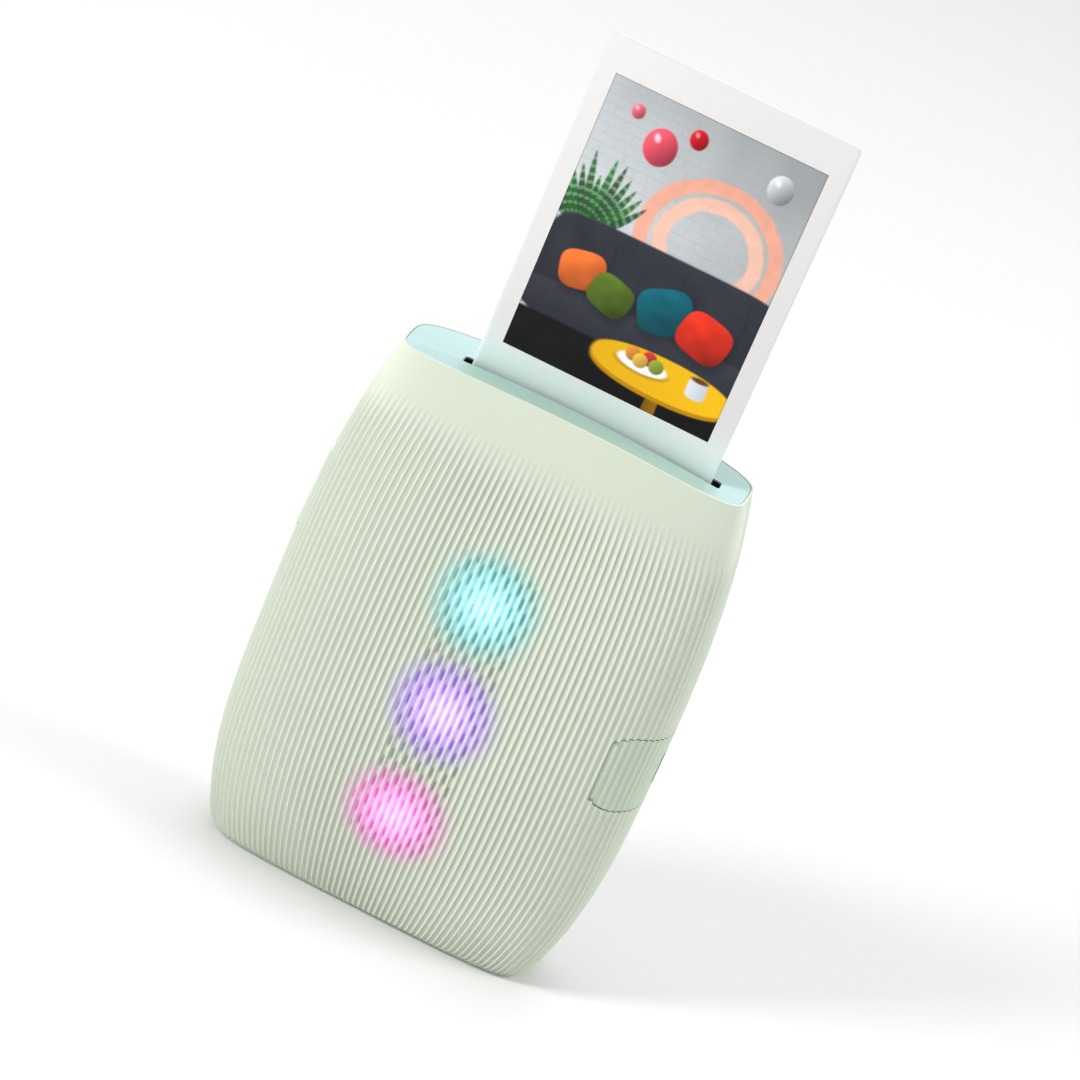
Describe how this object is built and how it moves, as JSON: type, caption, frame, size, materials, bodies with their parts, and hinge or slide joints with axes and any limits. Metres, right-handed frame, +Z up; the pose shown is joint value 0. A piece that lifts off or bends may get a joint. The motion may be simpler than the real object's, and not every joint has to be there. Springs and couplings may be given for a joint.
{
  "type": "compact photo printer",
  "caption": "Pillow-shaped handheld instant photo printer with a ribbed shell, crowned slotted cap, glowing lights, rear film door and a print standing in the slot.",
  "frame": {"origin": "middle of the flat base, on the standing plane", "axes": "+Z up along the body, -Y out of the ribbed front, +X to the side of the port cover"},
  "size_m": [0.09, 0.0372, 0.2008],
  "materials": {
    "sage_shell": "ribbed satin sage-green plastic",
    "sage_rear": "fine satin sage-green plastic",
    "teal_cap": "satin pale teal plastic",
    "dark_plastic": "fine satin dark plastic",
    "frame_plastic": "glass-filled structural plastic",
    "steel": "turned and pressed steel",
    "foam": "closed-cell light seal",
    "bush_plastic": "self-lubricating plastic",
    "gear_plastic": "natural acetal",
    "brass": "machined brass",
    "roller_rubber": "ground rubber",
    "lens": "clear moulded lens array",
    "cable": "amber flexible circuit",
    "board": "green solder mask",
    "chip": "moulded black packages",
    "cell": "pouch cell film",
    "led": "white emitter lens",
    "glow_cyan": "lit diffuser",
    "glow_violet": "lit diffuser",
    "glow_pink": "lit diffuser",
    "paper": "white instant print laminate"
  },
  "bodies": {
    "housing": {"front_shell": "sage_shell", "rear_shell": "sage_rear", "top_cap": "teal_cap", "port_bezel": "dark_plastic", "chassis": "frame_plastic", "hinge_pin": "steel", "chamber_seal": "foam", "slot_seal": "foam", "roller_bushes": "bush_plastic", "gear_plate": "steel", "gear_pins": "steel", "motor": "steel", "exposure_head": "dark_plastic", "head_lens": "lens", "head_cable": "cable", "main_board": "board", "board_chips": "chip", "board_screws": "steel", "battery": "cell", "led_chips": "led", "glow_guide_upper": "glow_cyan", "glow_guide_middle": "glow_violet", "glow_guide_lower": "glow_pink", "usb_socket": "steel", "usb_board": "board", "power_switch": "dark_plastic", "shell_screws": "steel", "film_cassette": "dark_plastic", "film_stack": "paper", "claw_pins": "steel", "claw_spring": "steel"},
    "door": {"film_door": "sage_rear", "door_hinge_leaf": "sage_rear", "door_liner": "frame_plastic", "pack_springs": "steel", "latch_spring": "steel"},
    "latch": {"door_latch": "sage_rear"},
    "button": {"power_button": "sage_rear"},
    "port_flap": {"port_cover": "sage_shell"},
    "rear_roller_body": {"rear_roller": "steel", "rear_roller_sleeve": "roller_rubber", "rear_roller_gear": "gear_plastic"},
    "front_roller_body": {"front_roller": "steel", "front_roller_sleeve": "roller_rubber", "front_roller_gear": "gear_plastic"},
    "idler": {"idler_gear": "gear_plastic"},
    "second": {"second_gear": "gear_plastic"},
    "first": {"first_gear": "gear_plastic"},
    "pinion": {"motor_pinion": "brass"},
    "claw": {"pick_claw": "steel"},
    "print": {"instant_print": "paper"}
  },
  "joints": [
    {"name": "film_door_hinge", "type": "hinge", "parent": "housing", "child": "door", "pos_m": [0.0034, 0.0121, 0.0066], "axis": [-1, 0, 0], "range_deg": [0, 75]},
    {"name": "door_latch_slide", "type": "slide", "parent": "door", "child": "latch", "axis": [0, 0, -1], "range_m": [0, 0.002], "stiffness_N_per_m": 300, "springref_m": -0.001, "deforming": ["latch_spring"]},
    {"name": "power_button_press", "type": "slide", "parent": "housing", "child": "button", "axis": [1, 0, 0], "range_m": [0, 0.0008], "stiffness_N_per_m": 900, "springref_m": -0.0005},
    {"name": "port_cover_hinge", "type": "hinge", "parent": "housing", "child": "port_flap", "pos_m": [0.03608, -0.0132, 0.0589], "axis": [0, 0, -1], "range_deg": [0, 80]},
    {"name": "rear_roller_spin", "type": "hinge", "parent": "housing", "child": "rear_roller_body", "pos_m": [0, 0.0009, 0.107], "axis": [1, 0, 0], "continuous": true},
    {"name": "front_roller_spin", "type": "hinge", "parent": "housing", "child": "front_roller_body", "pos_m": [0, -0.0061, 0.107], "axis": [1, 0, 0], "continuous": true},
    {"name": "idler_spin", "type": "hinge", "parent": "housing", "child": "idler", "pos_m": [-0.0318, 0, 0.09754], "axis": [1, 0, 0], "continuous": true},
    {"name": "second_gear_spin", "type": "hinge", "parent": "housing", "child": "second", "pos_m": [-0.0318, 0, 0.08854], "axis": [1, 0, 0], "continuous": true},
    {"name": "first_gear_spin", "type": "hinge", "parent": "housing", "child": "first", "pos_m": [-0.0318, 0, 0.07904], "axis": [1, 0, 0], "continuous": true},
    {"name": "motor_pinion_spin", "type": "hinge", "parent": "housing", "child": "pinion", "pos_m": [-0.0318, 0, 0.07154], "axis": [1, 0, 0], "continuous": true},
    {"name": "pick_claw_slide", "type": "slide", "parent": "housing", "child": "claw", "axis": [0, 0, 1], "range_m": [0, 0.0045], "stiffness_N_per_m": 60, "springref_m": -0.001, "deforming": ["claw_spring"]},
    {"name": "print_slide", "type": "slide", "parent": "housing", "child": "print", "axis": [0, 0, 1], "range_m": [0, 0.008]}
  ],
  "couplings": [
    {"joint": "front_roller_spin", "follows": "rear_roller_spin", "ratio": -1},
    {"joint": "idler_spin", "follows": "rear_roller_spin", "ratio": -0.58333},
    {"joint": "second_gear_spin", "follows": "rear_roller_spin", "ratio": 1.1667},
    {"joint": "first_gear_spin", "follows": "rear_roller_spin", "ratio": -2.5278},
    {"joint": "motor_pinion_spin", "follows": "rear_roller_spin", "ratio": 5.0556}
  ]
}
